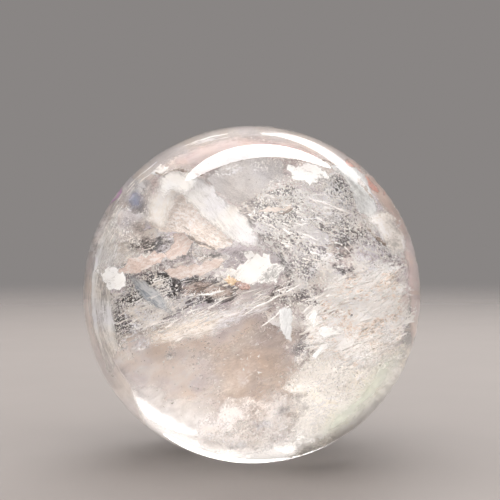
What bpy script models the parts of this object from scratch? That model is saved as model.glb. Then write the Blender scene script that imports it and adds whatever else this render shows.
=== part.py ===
"""A polished sphere of clear rock crystal, 100 mm across, with a small flat spot to rest on.

The sphere is one stone, so it is one object. The frame is +Z up, with the origin at the
middle of the flat spot, on the surface that the stone rests on.
"""

import math

import bmesh
import bpy

# Driving dimensions, in metres
SPHERE_DIAMETER = 0.100
FLAT_SPOT_DIAMETER = 0.016

# How finely the round surface is divided
MERIDIANS = 80
RINGS = 40
# Creases sharper than this stay crisp: only the rim of the flat spot is
CREASE = math.radians(7)

SPHERE_RADIUS = SPHERE_DIAMETER / 2
FLAT_SPOT_RADIUS = FLAT_SPOT_DIAMETER / 2
# The flat spot is a chord plane, so it lies this far under the middle of the sphere
MIDDLE_HEIGHT = math.sqrt(SPHERE_RADIUS**2 - FLAT_SPOT_RADIUS**2)

# Rock crystal: nearly colourless, faintly warm, with a wet polish
QUARTZ_COLOUR = (0.96, 0.93, 0.91, 1.0)
QUARTZ_ROUGHNESS = 0.02
QUARTZ_METALLIC = 0.0
QUARTZ_IOR = 1.544


def clear_scene():
    for obj in list(bpy.data.objects):
        bpy.data.objects.remove(obj)


def stone_collection():
    collection = bpy.data.collections.new("quartz_sphere")
    bpy.context.scene.collection.children.link(collection)
    return collection


def quartz_material():
    material = bpy.data.materials.new("clear_quartz")
    material.use_nodes = True
    surface = material.node_tree.nodes["Principled BSDF"]
    surface.inputs["Base Color"].default_value = QUARTZ_COLOUR
    surface.inputs["Roughness"].default_value = QUARTZ_ROUGHNESS
    surface.inputs["Metallic"].default_value = QUARTZ_METALLIC
    surface.inputs["IOR"].default_value = QUARTZ_IOR
    surface.inputs["Transmission Weight"].default_value = 1.0
    return material


def grind_flat_spot(shape):
    """Cuts the bottom of the ball off along the resting plane and closes the cut."""
    cut = bmesh.ops.bisect_plane(
        shape,
        geom=shape.verts[:] + shape.edges[:] + shape.faces[:],
        plane_co=(0, 0, -MIDDLE_HEIGHT),
        plane_no=(0, 0, -1),
        clear_outer=True,
    )
    rim = [piece for piece in cut["geom_cut"] if isinstance(piece, bmesh.types.BMEdge)]
    bmesh.ops.contextual_create(shape, geom=rim)


def sphere_mesh():
    shape = bmesh.new()
    bmesh.ops.create_uvsphere(
        shape, u_segments=MERIDIANS, v_segments=RINGS, radius=SPHERE_RADIUS
    )
    grind_flat_spot(shape)
    bmesh.ops.recalc_face_normals(shape, faces=shape.faces)
    mesh = bpy.data.meshes.new("quartz_sphere")
    shape.to_mesh(mesh)
    shape.free()
    mesh.shade_smooth()
    mesh.set_sharp_from_angle(angle=CREASE)
    return mesh


def build_sphere(collection):
    sphere = bpy.data.objects.new("quartz_sphere", sphere_mesh())
    sphere.location.z = MIDDLE_HEIGHT
    sphere.data.materials.append(quartz_material())
    collection.objects.link(sphere)
    return sphere


clear_scene()
build_sphere(stone_collection())
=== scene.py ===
"""Dresses the quartz sphere: clear polished rock crystal with feathers, hazes and glints inside.

The file is laid out as an add-on, with one operator for each group of like pieces. Lengths are
metres unless a name says otherwise. The inner flaws are drawn as they show on the stone's disc
from the front: millimetres to the right of the disc's middle and above it. Sight lines that bend
at the polished surface carry them to their places inside the stone.
"""

import math
import random
from functools import partial
from typing import NamedTuple

import bmesh
import bpy
from bpy.props import FloatProperty, FloatVectorProperty, PointerProperty
from mathutils import Euler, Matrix, Quaternion, Vector, geometry, kdtree, noise


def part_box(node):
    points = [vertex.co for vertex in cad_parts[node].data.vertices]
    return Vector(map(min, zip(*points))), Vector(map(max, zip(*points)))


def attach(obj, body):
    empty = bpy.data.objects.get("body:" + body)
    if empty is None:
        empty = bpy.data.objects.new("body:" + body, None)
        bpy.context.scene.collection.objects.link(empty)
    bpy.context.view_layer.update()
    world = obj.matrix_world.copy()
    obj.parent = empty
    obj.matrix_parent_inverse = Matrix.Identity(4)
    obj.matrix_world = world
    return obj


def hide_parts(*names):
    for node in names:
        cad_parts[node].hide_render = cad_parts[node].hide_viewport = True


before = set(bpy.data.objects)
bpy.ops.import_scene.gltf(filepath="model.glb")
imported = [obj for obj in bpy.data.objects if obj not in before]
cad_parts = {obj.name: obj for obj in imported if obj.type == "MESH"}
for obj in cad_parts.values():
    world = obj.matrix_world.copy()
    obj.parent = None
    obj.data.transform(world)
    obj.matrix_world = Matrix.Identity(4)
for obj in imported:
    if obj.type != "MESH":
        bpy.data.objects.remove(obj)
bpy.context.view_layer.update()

bl_info = {
    "name": "Quartz sphere",
    "version": (1, 0, 0),
    "blender": (4, 5, 0),
    "location": "View3D > Sidebar > Quartz",
    "description": "A polished sphere of clear quartz with its inner feathers and veils",
    "category": "Add Mesh",
}

MM = 0.001

# The stone's own sizes, read from the frame
STONE_LOW, STONE_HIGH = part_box("quartz_sphere")
RADIUS = (STONE_HIGH.x - STONE_LOW.x) / 2
MIDDLE = Vector((0, 0, STONE_HIGH.z - RADIUS))
# Flaws stay inside this share of the radius, clear of the polish, and this high above the floor
SKIN = 0.97
LOWEST = 1.5 * MM

# The photograph's framing: a square of pixels, with the disc's middle and radius in it
FRAME_PIXELS = 500
DISC_MIDDLE_PIXELS = (251.94, 293.70)
DISC_RADIUS_PIXELS = 168.69
SENSOR_MM = 36.0

# The outermost radius on the disc that a flaw is drawn at, in millimetres
RIM_LIMIT = 49.92

VIEW_ELEVATION = math.radians(3)
LENS_MM = 85.0
QUARTZ_IOR = 1.544

# How finely the clear stone is divided, and the crease that stays sharp: the flat spot's rim
STONE_SUBDIVISIONS = 7
CREASE = math.radians(7)

# A sight line counts as edge-on to a sheet below this cosine
EDGE_ON = 1e-4
# A broken edge's longest step, in millimetres and as a share of the sheet's spacing
STEP_MM, STEP_SHARE = 0.45, 0.6
# The sway of an edge and of a sheet: waves a millimetre and smoothness, then what both share
EDGE_WAVES, EDGE_SMOOTH = 0.4, 0.6
SHEET_WAVES, SHEET_SMOOTH = 0.09, 0.8
OCTAVE_GAP, OCTAVES = 2.0, 5
# Inner points of a sheet, as shares of its spacing: how far each is shifted, how clear of the edge
JITTER, CLEARANCE = 0.3, 0.45
# An edge this close to the stone's rim, in millimetres, doesn't fade
RIM_MARGIN = 0.4
# Corners closer than this, in millimetres, are one
JOIN_MM = 1e-4
# How far a ring and a ribbon stop short of a point at their ends, in shares and in steps
RING_TIP, RIBBON_TIP = 0.01, 0.35


def focal_pixels(lens_mm):
    return lens_mm / SENSOR_MM * FRAME_PIXELS


def disc_spread(lens_mm):
    """Half the angle that the stone fills, as the camera sees it."""
    return math.atan(DISC_RADIUS_PIXELS / focal_pixels(lens_mm))


def eye_place(elevation, lens_mm):
    distance = RADIUS / math.sin(disc_spread(lens_mm))
    return MIDDLE + Vector((0, -math.cos(elevation), math.sin(elevation))) * distance


EYE = eye_place(VIEW_ELEVATION, LENS_MM)
SIGHT = (MIDDLE - EYE).normalized()
SIGHT_RIGHT = Vector((1, 0, 0))
SIGHT_UP = SIGHT_RIGHT.cross(SIGHT)


def sphere_hit(start, way, centre, radius):
    """Distances along a ray to where it enters and leaves a sphere, or None."""
    offset = start - centre
    along = offset.dot(way)
    inner = along * along - offset.length_squared + radius * radius
    if inner <= 0:
        return None
    root = math.sqrt(inner)
    return -along - root, -along + root


def bent(way, normal, ratio):
    """A ray's direction after it enters a medium, by the law of refraction."""
    cosine = -normal.dot(way)
    inner = 1 - ratio * ratio * (1 - cosine * cosine)
    return (way * ratio + normal * (ratio * cosine - math.sqrt(inner))).normalized()


def sight_line(across, up):
    """Where a sight line through a point of the disc enters the stone, and its way inside."""
    reach = math.hypot(across, up)
    if reach > RIM_LIMIT:
        across, up = across * RIM_LIMIT / reach, up * RIM_LIMIT / reach
    spread = math.tan(disc_spread(LENS_MM)) / (RADIUS / MM)
    way = (SIGHT + SIGHT_RIGHT * (across * spread) + SIGHT_UP * (up * spread)).normalized()
    near, _ = sphere_hit(EYE, way, MIDDLE, RADIUS)
    entry = EYE + way * near
    return entry, bent(way, (entry - MIDDLE).normalized(), 1 / QUARTZ_IOR)


def inside_place(across, up, point, normal):
    """Where a sight line meets a plane inside the stone, held within the stone."""
    entry, way = sight_line(across, up)
    steep = way.dot(normal)
    first, last = 0.0, sphere_hit(entry, way, MIDDLE, RADIUS)[1]
    run = (point - entry).dot(normal) / steep if abs(steep) > EDGE_ON else last / 2
    return held_inside(entry + way * min(max(run, first), last))


def held_inside(place):
    """The place itself, or a near one that is clear of the polish and of the floor."""
    offset = place - MIDDLE
    limit = RADIUS * SKIN
    if offset.length > limit:
        place = MIDDLE + offset.normalized() * limit
    place.z = max(place.z, LOWEST)
    return place


class Flaw(NamedTuple):
    """A sheet inside the stone: a healed fracture, a feather, a veil, or a sheet of painted light or shade.

    Its depth is millimetres past the stone's middle, and its turn and lean are degrees, as is the
    side that it is drawn from. Its ruffle, ragged edge and spacing of points are millimetres.
    """

    name: str
    depth: float
    turn: float
    lean: float
    outline: tuple
    ruffle: float = 0.3
    ragged: float = 0.5
    spacing: float = 1.6
    seed: int = 0
    side: float = 0.0
    around: bool = False


def flaw_plane(flaw):
    """A point of the flaw's plane, at its depth behind the outline's middle, and its normal."""
    middle = Vector((0, 0))
    for across, up in flaw.outline:
        middle += Vector((across, up)) / len(flaw.outline)
    entry, way = sight_line(middle.x, middle.y)
    run = (MIDDLE.y + flaw.depth * MM - entry.y) / way.y
    turned = Euler((math.radians(flaw.lean), 0, math.radians(flaw.turn))).to_matrix()
    return entry + way * max(run, 0), turned @ Vector((0, -1, 0))


def ragged_outline(flaw):
    """The outline with its edges broken into short steps, as a fracture's edge is."""
    points = [Vector(point) for point in flaw.outline]
    broken = []
    for here, there in zip(points, points[1:] + points[:1]):
        run = there - here
        steps = max(1, round(run.length / min(STEP_MM, flaw.spacing * STEP_SHARE)))
        side = Vector((-run.y, run.x)).normalized()
        for step in range(steps):
            spot = here + run * step / steps
            at = Vector((spot.x * EDGE_WAVES, spot.y * EDGE_WAVES, flaw.seed))
            sway = noise.fractal(at, EDGE_SMOOTH, OCTAVE_GAP, OCTAVES)
            broken.append(spot + side * sway * flaw.ragged)
    return broken


def finder(spots):
    """A quick way to find the nearest of some spots."""
    tree = kdtree.KDTree(len(spots))
    for index, spot in enumerate(spots):
        tree.insert(spot.to_3d(), index)
    tree.balance()
    return tree


def inner_spots(flaw, outline):
    """Jittered rows of points over the outline's box, kept clear of its edge."""
    rim = finder(outline)
    shuffle = random.Random(flaw.seed)
    lows = [min(point[axis] for point in outline) for axis in (0, 1)]
    highs = [max(point[axis] for point in outline) for axis in (0, 1)]
    columns, rows = (int((high - low) / flaw.spacing) + 1 for low, high in zip(lows, highs))
    inner = []
    for row in range(rows):
        for column in range(columns):
            jitter = Vector((shuffle.uniform(-JITTER, JITTER), shuffle.uniform(-JITTER, JITTER)))
            spot = Vector((lows[0] + column * flaw.spacing, lows[1] + row * flaw.spacing))
            spot += jitter * flaw.spacing
            if rim.find(spot.to_3d())[2] > flaw.spacing * CLEARANCE:
                inner.append(spot)
    return inner


def flaw_mesh(flaw):
    """A ruffled sheet within the outline, which stores its edge distance and its disc place.

    The stone's own rim doesn't count as an edge. A flaw that lies around the rim stores the way
    along the rim and the radius for its place.
    """
    outline = ragged_outline(flaw)
    fading = finder([spot for spot in outline if spot.length < RIM_LIMIT - RIM_MARGIN])
    loop = list(range(len(outline)))
    corners = outline + inner_spots(flaw, outline)
    spots, _, faces, *_ = geometry.delaunay_2d_cdt(corners, [], [loop], 1, JOIN_MM)
    point, normal = flaw_plane(flaw)
    around = Quaternion((0, 0, 1), math.radians(flaw.side))
    places, edges, discs = [], [], []
    for spot in spots:
        place = inside_place(spot.x, spot.y, point, normal)
        at = place / MM * SHEET_WAVES + Vector((flaw.seed, 0, 0))
        sway = noise.fractal(at, SHEET_SMOOTH, OCTAVE_GAP, OCTAVES)
        place = held_inside(place + normal * sway * flaw.ruffle * MM)
        places.append(MIDDLE + around @ (place - MIDDLE))
        edges.append(fading.find(spot.to_3d())[2])
        if flaw.around:
            spot = Vector((math.atan2(spot.y, -spot.x) * (RADIUS / MM), spot.length))
        discs += (spot.x, spot.y, flaw.seed)
    mesh = bpy.data.meshes.new(flaw.name)
    mesh.from_pydata(places, [], [list(face) for face in faces])
    mesh.attributes.new("edge", "FLOAT", "POINT").data.foreach_set("value", edges)
    mesh.attributes.new("disc", "FLOAT_VECTOR", "POINT").data.foreach_set("vector", discs)
    mesh.shade_smooth()
    return mesh


def ring(inner, outer, start, end, steps=16, taper=0.22):
    """A band of the disc between two radii in millimetres and two angles in degrees from the right.

    Towards its ends it tapers to the outer radius, over a share of its length.
    """
    far, close = [], []
    for step in range(steps + 1):
        share = step / steps
        turn = math.radians(start + (end - start) * share)
        full = min(1.0, (share + RING_TIP) / taper, (1 + RING_TIP - share) / taper)
        reach = outer - (outer - inner) * full
        far.append((outer * math.cos(turn), outer * math.sin(turn)))
        close.append((reach * math.cos(turn), reach * math.sin(turn)))
    return tuple(far + close[::-1])


def oval(across, up, width, height, turn=0.0, steps=14):
    """An oval about a point of the disc, turned by degrees."""
    cosine, sine = math.cos(math.radians(turn)), math.sin(math.radians(turn))
    spots = []
    for step in range(steps):
        angle = math.tau * step / steps
        x, y = width / 2 * math.cos(angle), height / 2 * math.sin(angle)
        spots.append((across + x * cosine - y * sine, up + x * sine + y * cosine))
    return tuple(spots)


def ribbon(width, *points):
    """The outline of a streak along a line of points, tapering to both ends."""
    spots = [Vector(point) for point in points]
    left, right = [], []
    for index, spot in enumerate(spots):
        before, after = spots[max(index - 1, 0)], spots[min(index + 1, len(spots) - 1)]
        side = Vector((before.y - after.y, after.x - before.x)).normalized()
        share = (index + RIBBON_TIP) / (len(spots) - 1 + 2 * RIBBON_TIP)
        half = width / 2 * math.sin(math.pi * share)
        left.append(tuple(spot + side * half))
        right.append(tuple(spot - side * half))
    return tuple(left + right[::-1])


def placed(name, mesh, materials=()):
    """Puts a finished mesh in the scene as a piece of the stone."""
    piece = bpy.data.objects.new(name, mesh)
    bpy.context.scene.collection.objects.link(piece)
    for material in materials:
        mesh.materials.append(material)
    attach(piece, "root")
    return piece


def feed(tree, node, sockets):
    """Links or sets a node's inputs, each by its name or its number."""
    for name, value in sockets.items():
        if isinstance(value, bpy.types.NodeSocket):
            tree.links.new(value, node.inputs[name])
        else:
            node.inputs[name].default_value = value


def new_node(tree, kind, sockets=None, **settings):
    """Adds a node with its settings, and sets or links its input sockets."""
    node = tree.nodes.new(kind)
    for name, value in settings.items():
        setattr(node, name, value)
    feed(tree, node, sockets or {})
    return node


def maths(tree, operation, *values):
    """The outcome of a maths node, from numbers and sockets."""
    return new_node(tree, "ShaderNodeMath", dict(enumerate(values)), operation=operation).outputs[0]


def vectors(tree, operation, *values):
    """The outcome of a vector maths node, from vectors and sockets."""
    node = new_node(tree, "ShaderNodeVectorMath", dict(enumerate(values)), operation=operation)
    return node.outputs["Value" if operation in ("DOT_PRODUCT", "DISTANCE", "LENGTH") else "Vector"]


def scaled(tree, vector, size):
    node = new_node(tree, "ShaderNodeVectorMath", {0: vector, "Scale": size}, operation="SCALE")
    return node.outputs["Vector"]


def product(tree, *values):
    """The product of sockets and numbers."""
    total = values[0]
    for value in values[1:]:
        total = maths(tree, "MULTIPLY", total, value)
    return total


def between(tree, value, low, high, first=0.0, last=1.0):
    """A smooth step from first to last as the value goes from low to high."""
    step = new_node(
        tree,
        "ShaderNodeMapRange",
        {"Value": value, "From Min": low, "From Max": high, "To Min": first, "To Max": last},
        interpolation_type="SMOOTHSTEP",
    )
    return step.outputs["Result"]


def new_material(name):
    material = bpy.data.materials.new(name)
    material.use_nodes = True
    tree = material.node_tree
    return material, tree, tree.nodes["Principled BSDF"]


def shared_group(name, inputs, outputs, build):
    """A shader node group by name, built the first time that it is asked for."""
    found = bpy.data.node_groups.get(name)
    if found:
        return found
    tree = bpy.data.node_groups.new(name, "ShaderNodeTree")
    for title, value in inputs.items():
        kind = "NodeSocketVector" if isinstance(value, tuple) else "NodeSocketFloat"
        tree.interface.new_socket(title, in_out="INPUT", socket_type=kind).default_value = value
    for title in outputs:
        tree.interface.new_socket(title, in_out="OUTPUT", socket_type="NodeSocketFloat")
    given = tree.nodes.new("NodeGroupInput").outputs
    out = tree.nodes.new("NodeGroupOutput").inputs
    for title, socket in zip(outputs, build(tree, given)):
        tree.links.new(socket, out[title])
    return tree


def drawn_place(tree, given, stretch="Stretch"):
    """The given place, turned, and drawn out along the turned X axis."""
    sockets = {"Vector": given["Place"], "Rotation": given["Turn"], "Scale": given[stretch]}
    return new_node(tree, "ShaderNodeMapping", sockets, vector_type="TEXTURE").outputs[0]


def fractal(tree, place, scale, detail, roughness, distortion=0.0):
    """Fractal noise, from 0 to 1 and near 0.5 on average."""
    sockets = {
        "Vector": place,
        "Scale": scale,
        "Detail": detail,
        "Roughness": roughness,
        "Distortion": distortion,
    }
    return new_node(tree, "ShaderNodeTexNoise", sockets).outputs["Fac"]


# The value that fractal noise keeps to on average, and how far it pushes the lines of a lace
NOISE_MEAN = 0.5
LACE_WARP = 0.8
# Between which values of their noises the patches of lace, the dashes and their patches begin
LACE_PATCHES = (0.42, 0.58)
DASH_EDGES, DASH_PATCHES = (0.57, 0.62), (0.46, 0.56)

# What every pattern group takes in
PLACED = {"Place": (0.0, 0.0, 0.0), "Stretch": (1.0, 1.0, 1.0), "Turn": (0.0, 0.0, 0.0), "Scale": 1.0}


def clouding_group():
    """Stretched noise between two levels: cloudy masks of every kind."""

    def build(tree, given):
        place = drawn_place(tree, given)
        cloud = fractal(tree, place, given["Scale"], given["Detail"], roughness=0.6, distortion=0.3)
        return (between(tree, cloud, given["Low"], given["High"]),)

    inputs = PLACED | {"Low": 0.45, "High": 0.6, "Detail": 6.0}
    return shared_group("quartz_clouding", inputs, ("Mask",), build)


def lacing_group():
    """Thin curling lines, where a warped noise crosses its middle."""

    def build(tree, given):
        place = drawn_place(tree, given)
        sway = new_node(tree, "ShaderNodeTexNoise", {"Vector": place, "Scale": given["Scale"]})
        pushed = vectors(tree, "SUBTRACT", sway.outputs["Color"], (NOISE_MEAN,) * 3)
        reach = maths(tree, "DIVIDE", LACE_WARP, given["Scale"])
        warped = vectors(tree, "ADD", place, scaled(tree, pushed, reach))
        cloud = fractal(tree, warped, given["Scale"], detail=5.0, roughness=0.6)
        away = maths(tree, "ABSOLUTE", maths(tree, "SUBTRACT", cloud, NOISE_MEAN))
        return (between(tree, away, given["Width"], 0.0),)

    return shared_group("quartz_lacing", PLACED | {"Width": 0.03}, ("Lines",), build)


def veiling_group():
    """A veil's light and dark, near 0.5: drifts, a fine grain, thin lines and bright dashes."""

    def build(tree, given):
        place = drawn_place(tree, given)
        drifts = fractal(tree, place, given["Scale"], detail=9.0, roughness=0.62, distortion=0.4)
        grain = fractal(tree, place, given["Grain Scale"], detail=3.0, roughness=0.7, distortion=1.5)
        grained = maths(tree, "MULTIPLY", maths(tree, "SUBTRACT", grain, NOISE_MEAN), given["Grain"])
        patched = fractal(tree, given["Place"], scale=0.2, detail=3.0, roughness=0.5)
        patches = between(tree, patched, *LACE_PATCHES)
        lines = grouped(tree, lacing_group(), given["Place"], Scale=0.7, Width=0.035).outputs[0]
        laced = product(tree, lines, patches, given["Lace"])
        along = drawn_place(tree, given, "Dash Stretch")
        long = fractal(tree, along, scale=1.1, detail=2.0, roughness=0.55, distortion=0.5)
        dashes = between(tree, long, *DASH_EDGES)
        strewn = between(tree, fractal(tree, place, scale=0.16, detail=3.0, roughness=0.5), *DASH_PATCHES)
        dashed = product(tree, dashes, strewn, given["Dashes"])
        deepened = product(tree, maths(tree, "SUBTRACT", drifts, NOISE_MEAN), given["Contrast"])
        value = maths(tree, "ADD", deepened, maths(tree, "ADD", given["Lift"], NOISE_MEAN))
        fine = maths(tree, "ADD", grained, maths(tree, "ADD", laced, dashed))
        return (maths(tree, "ADD", value, fine),)

    inputs = PLACED | {
        "Contrast": 1.0, "Grain": 0.5, "Grain Scale": 1.3, "Lace": 0.0, "Lift": 0.0, "Dashes": 0.0,
        "Dash Stretch": (5.0, 1.0, 1.0),
    }
    return shared_group("quartz_veiling", inputs, ("Value",), build)


def grouped(tree, group, place, **sockets):
    """Places a shared group at a place, with its own values."""
    values = {name.replace("_", " "): value for name, value in sockets.items()}
    return new_node(tree, "ShaderNodeGroup", {"Place": place} | values, node_tree=group)


def solid_place(tree):
    """Object coordinates, for patterns that run through a whole piece."""
    return new_node(tree, "ShaderNodeTexCoord").outputs["Object"]


def disc_place(tree):
    """Millimetres across the disc, stored on the inner sheets, for patterns drawn on it."""
    return new_node(tree, "ShaderNodeAttribute", attribute_name="disc").outputs["Vector"]


# The mix node's numbered sockets for colours: the first, the second and the outcome
MIX_FIRST, MIX_SECOND, MIX_OUTCOME = 6, 7, 2


def opaque(value):
    """Three channels with a full fourth, or a socket as it is."""
    return value if isinstance(value, bpy.types.NodeSocket) else (*value[:3], 1.0)


def mixed(tree, factor, first, second, blend="MIX"):
    """A colour between two, by a factor: each may be a value or a socket."""
    sockets = {"Factor": factor, MIX_FIRST: opaque(first), MIX_SECOND: opaque(second)}
    node = new_node(tree, "ShaderNodeMix", sockets, data_type="RGBA", blend_type=blend)
    return node.outputs[MIX_OUTCOME]


def shades(tree, factor, *stops):
    """A colour ramp: each stop is a position and a colour."""
    ramp = new_node(tree, "ShaderNodeValToRGB", {"Fac": factor})
    marks = ramp.color_ramp.elements
    while len(marks) < len(stops):
        marks.new(0.5)
    for mark, (position, tone) in zip(marks, stops):
        mark.position = position
        mark.color = opaque(tone)
    return ramp.outputs["Color"]


def number(name, text, value, **more):
    """A setting that holds a number."""
    return FloatProperty(name=name, description=text, default=value, **more)


def colour(name, text, value):
    """A setting that holds a colour."""
    return FloatVectorProperty(
        name=name, description=text, subtype="COLOR", size=3, default=value, min=0, max=1
    )


class StoneSettings(bpy.types.PropertyGroup):
    """The clear crystal"""

    ior: number("Refraction", "How strongly it bends light", QUARTZ_IOR, min=1, max=2)
    tint: colour("Tint", "The faint warmth of a thick stone", (0.97, 0.93, 0.90))
    tint_density: number("Tint density", "How fast the tint builds up, per metre", 8.0, min=0)
    dulling: number("Dulling", "Roughness where the polish is dullest", 0.03, min=0, max=1)


class FlawSettings(bpy.types.PropertyGroup):
    """The colours of the feathers and the hazes, and the feathers' thickness"""

    thickness: number("Thickness", "Thickness of a feather", 0.12 * MM, unit="LENGTH")
    white: colour("White", "The brightest feathers", (0.97, 0.97, 0.96))
    ice: colour("Ice", "The cool slanting band and facets", (0.86, 0.86, 0.85))
    petal: colour("Petal", "The wide petal", (0.88, 0.77, 0.69))
    ivory: colour("Ivory", "The pale side of the petal", (0.96, 0.92, 0.86))
    peach: colour("Peach", "The leaf-shaped faces", (0.84, 0.68, 0.61))
    leaf: colour("Leaf", "The leaf-shaped face under the middle", (0.61, 0.48, 0.42))
    umber: colour("Umber", "Cracks in the petal", (0.30, 0.22, 0.17))
    # Painted shade: clear stone shows the dim surroundings, and this dark tone paints them onto sheets
    painted_dark_gap: colour("Slate", "Dark clear stretches", (0.30, 0.28, 0.30))
    mist: colour("Mist", "Milky grey stretches", (0.73, 0.69, 0.70))
    # Partly painted shade: a purple-grey veil, made darker to offset the stronger light near the middle
    heather_and_shade: colour("Heather", "The purple-grey veil beside the central flake", (0.52, 0.47, 0.50))
    # Painted shade: a darker grey that offsets the stronger light near the middle and top
    painted_shade_grey: colour("Dusk", "Dark pockets and grainy stretches", (0.34, 0.31, 0.33))
    frost: colour("Frost", "The bluish wedge by the right rim", (0.84, 0.87, 0.88))
    pane: colour("Pane", "The smooth grey face near the top", (0.60, 0.585, 0.595))
    lilac: colour("Lilac", "The wide veils at the right", (0.68, 0.61, 0.64))
    moss: colour("Moss", "The grey-cream face by the right rim", (0.90, 0.84, 0.76))
    warm: colour("Warm", "Veils below the right rim", (0.94, 0.80, 0.70))
    # Partly painted light: the bottom's veils are cream, and this tone is made bright for the light that
    # gathers there
    cream: colour("Cream", "Bright veils at the bottom", (0.99, 0.94, 0.84))
    smoke: colour("Smoke", "The smooth brown stretch", (0.70, 0.585, 0.515))
    ridge: colour("Ridge", "The bright ridge across the middle", (1.0, 0.94, 0.87))
    blush: colour("Blush", "The smooth pale stretch at the lower left", (0.95, 0.87, 0.83))
    # The arc's pink is a painted reflection of skin below the stone, seen bent through its top
    pink: colour("Pink", "The pink arc along the top", (0.64, 0.44, 0.40))
    rose: colour("Rose", "The tint along the right rim", (0.93, 0.75, 0.70))
    coral: colour("Coral", "The short red streak by the rim", (0.92, 0.44, 0.36))
    green: colour("Green", "The tint at the lower right rim", (0.84, 1.0, 0.78))
    violet: colour("Violet", "The tint at the upper left rim", (0.74, 0.30, 0.74))
    azure: colour("Azure", "The blue spot", (0.11, 0.15, 0.32))
    warmer: colour("Warmer", "The warmest drift of tint over a veil", (1.0, 0.95, 0.89))
    cooler: colour("Cooler", "The coolest drift of tint over a veil", (0.90, 0.91, 0.97))
    steel: colour("Steel", "The bluish streak at the left", (0.33, 0.38, 0.44))
    gold: colour("Gold", "The iridescent spot", (0.72, 0.52, 0.30))


class GlintSettings(bpy.types.PropertyGroup):
    """The tiny chips and needles"""

    thinness: number("Thinness", "A chip's height over its width", 0.5, min=0.05, max=1)
    bright: colour("Bright", "Bright chips", (0.98, 0.98, 0.97))
    soft: colour("Soft", "Softer chips", (0.90, 0.86, 0.83))
    dark: colour("Dark", "Dark specks", (0.10, 0.09, 0.09))


class StageSettings(bpy.types.PropertyGroup):
    """Floor, backdrop, light and camera"""

    lens: number("Lens", "Focal length in millimetres", LENS_MM, min=10)
    elevation: number(
        "Elevation", "How far above level the camera stands", VIEW_ELEVATION, subtype="ANGLE"
    )
    floor: colour("Floor", "Colour of the floor", (0.17, 0.155, 0.148))
    backdrop: colour("Backdrop", "Light of the backdrop near the ground", (0.25, 0.235, 0.23))
    sky: colour("Sky", "Colour of the soft light overhead", (1.0, 0.96, 0.93))
    sky_strength: number("Sky", "Strength of the light overhead", 1.3)
    front_strength: number("Front", "Strength of the soft light before the stone", 3.15)
    window_strength: number("Window", "Strength of the window behind the stone", 5.0)


def cut_ball():
    """A finely divided ball, cut flat where it rests."""
    ball = bmesh.new()
    bmesh.ops.create_icosphere(ball, subdivisions=STONE_SUBDIVISIONS, radius=RADIUS)
    cut = bmesh.ops.bisect_plane(
        ball,
        geom=ball.verts[:] + ball.edges[:] + ball.faces[:],
        plane_co=(0, 0, -MIDDLE.z),
        plane_no=(0, 0, -1),
        clear_outer=True,
    )
    rim = [piece for piece in cut["geom_cut"] if isinstance(piece, bmesh.types.BMEdge)]
    bmesh.ops.contextual_create(ball, geom=rim)
    bmesh.ops.translate(ball, verts=ball.verts, vec=MIDDLE)
    bmesh.ops.recalc_face_normals(ball, faces=ball.faces)
    mesh = bpy.data.meshes.new("clear_stone")
    ball.to_mesh(mesh)
    ball.free()
    mesh.shade_smooth()
    mesh.set_sharp_from_angle(angle=CREASE)
    return mesh


def clear_material(stone):
    """Clear quartz: plain glass, with the faintest unevenness of a hand polish."""
    material, tree, surface = new_material("clear_quartz_polish")
    wear = grouped(tree, clouding_group(), solid_place(tree), Scale=30.0, Low=0.5, High=0.7)
    dull = product(tree, wear.outputs["Mask"], stone.dulling)
    feed(tree, surface, {
        "Transmission Weight": 1.0, "IOR": stone.ior, "Base Color": (1, 1, 1, 1), "Roughness": dull,
    })
    warmth = {"Color": opaque(stone.tint), "Density": stone.tint_density}
    absorb = new_node(tree, "ShaderNodeVolumeAbsorption", warmth)
    feed(tree, tree.nodes["Material Output"], {"Volume": absorb.outputs[0]})
    return material


class QUARTZ_OT_clear_stone(bpy.types.Operator):
    """Builds the clear polished stone"""

    bl_idname = "quartz.clear_stone"
    bl_label = "Clear stone"

    def execute(self, context):
        stone = context.scene.quartz_stone
        piece = placed("clear_stone", cut_ball(), [clear_material(stone)])
        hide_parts("quartz_sphere")
        return {"FINISHED"}


class Look(NamedTuple):
    """How a flaw's face shows: its colour, its grain, and for a haze how far it covers.

    Its turn is degrees, its fade millimetres, and its scale noise waves a millimetre. The drawn
    and dash values say how many times longer than wide the drifts and the dashes are.
    """

    tone: str
    turn: float = 25.0
    drawn: float = 2.0
    scale: float = 0.13
    contrast: float = 1.0
    deep: float = 0.45
    glint: float = 0.75
    grain: float = 0.55
    lace: float = 0.1
    dashes: float = 0.0
    dash: float = 5.0
    lift: float = 0.0
    cover: float = 1.0
    fade: float = 6.0
    soft: float = 0.04
    strength: float = 1.0
    tint: float = 0.9
    cracks: float = 0.0


# Looks that several flaws share: each flaw names its tone, and changes some of the values
needle = partial(Look, deep=0.85, grain=0.3, tint=0.1)
chip = partial(Look, turn=35, contrast=1.9, grain=0.9, lace=0.3, fade=0.7, soft=0.3, tint=0, cracks=0.15)
splinter = partial(Look, drawn=3, deep=0.6, grain=0.7, fade=0.7, soft=0.3, strength=0.9, tint=0.1)
facet = partial(Look, scale=0.2, contrast=1.7, deep=0.75, grain=0.8, dashes=0.2, soft=0.5)
flake = partial(Look, deep=0.55, fade=3, soft=0.3, strength=0.85)
leaf = partial(
    Look, turn=12, contrast=1.3, deep=0.75, glint=0.6, grain=0.8, fade=0.8, soft=0.25, strength=0.9,
    tint=0.2,
)
arc = partial(Look, turn=0, glint=0.4, grain=0.3, lace=0, soft=0.4)
lacy = partial(Look, scale=0.25, deep=0.6, grain=1, lace=0.35, cover=0.34)
grainy = partial(Look, scale=0.2, glint=1, grain=1, lace=0.3, dashes=0.3)
smooth = partial(Look, turn=35, deep=0.85, glint=0.6, grain=0.25, lace=0, fade=7, soft=0.45)
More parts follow.
